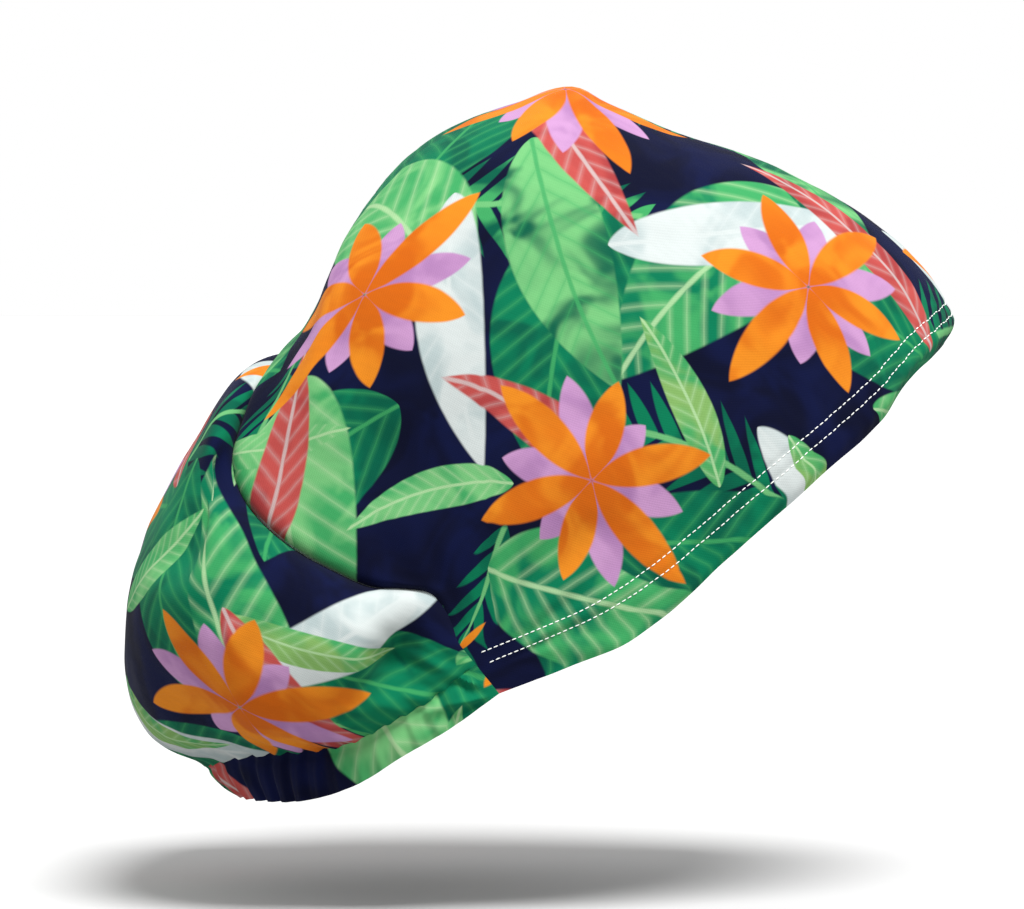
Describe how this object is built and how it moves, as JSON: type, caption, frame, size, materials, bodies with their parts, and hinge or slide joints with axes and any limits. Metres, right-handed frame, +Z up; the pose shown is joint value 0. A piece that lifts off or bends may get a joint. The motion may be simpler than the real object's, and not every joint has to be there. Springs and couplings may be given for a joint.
{
  "type": "surgical scrub cap",
  "caption": "Bouffant surgical scrub cap of printed cotton, shaped as worn, with a hemmed hood, gathered back bag and elastic nape casing.",
  "frame": {"origin": "middle of the head opening, halfway from the forehead hem to the nape edge in the middle plane", "axes": "+X towards the forehead, +Y towards the wearer's left, +Z up as worn"},
  "size_m": [0.2749, 0.184, 0.2325],
  "materials": {
    "hood_print": "plain-woven cotton with a botanical print on navy, white topstitching along the hem",
    "bag_print": "plain-woven cotton with the same print on navy",
    "casing_print": "doubled plain-woven cotton with the same print, gathered by elastic"
  },
  "bodies": {
    "root": {"front_panel": "hood_print", "back_bag": "bag_print", "nape_casing": "casing_print"}
  },
  "joints": []
}
